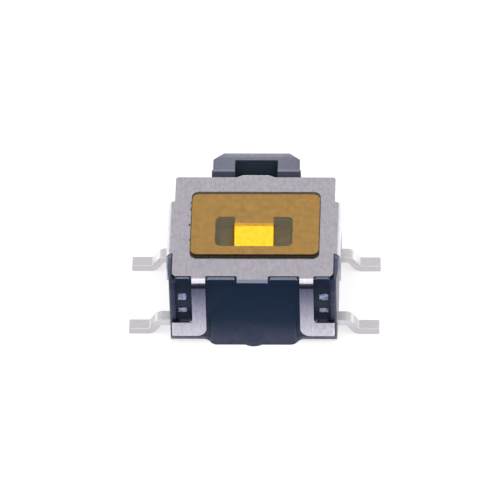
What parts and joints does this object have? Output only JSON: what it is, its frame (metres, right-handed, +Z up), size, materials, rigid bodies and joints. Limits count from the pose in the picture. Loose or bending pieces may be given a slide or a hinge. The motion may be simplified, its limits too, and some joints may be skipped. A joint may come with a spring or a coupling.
{
  "type": "side-push tactile button switch",
  "caption": "Side-push surface-mount tactile switch: black housing, bent metal cover with amber tape over its slot, notched front button and gull-wing terminals.",
  "frame": {"origin": "on the circuit board's surface, under the middle of the metal cover", "axes": "+X across the body along the terminals, +Y out of the button, +Z up from the board"},
  "size_m": [0.005, 0.004, 0.0018],
  "materials": {
    "housing_resin": "moulded, slightly glossy",
    "plated_contact": "matte tin plating",
    "spring_sheet": "bright rolled",
    "button_resin": "moulded, matte",
    "cover_sheet": "rolled sheet, satin",
    "amber_film": "smooth film"
  },
  "bodies": {
    "base": {"housing": "housing_resin", "rear_contact_frame": "plated_contact", "front_contact_frame": "plated_contact", "snap_dome": "spring_sheet", "cover": "cover_sheet", "sealing_tape": "amber_film"},
    "button": {"button": "button_resin"}
  },
  "joints": [
    {"name": "button_push", "type": "slide", "parent": "base", "child": "button", "axis": [0, -1, 0], "range_m": [0, 0.0002], "stiffness_N_per_m": 8000, "deforming": ["snap_dome"]}
  ]
}
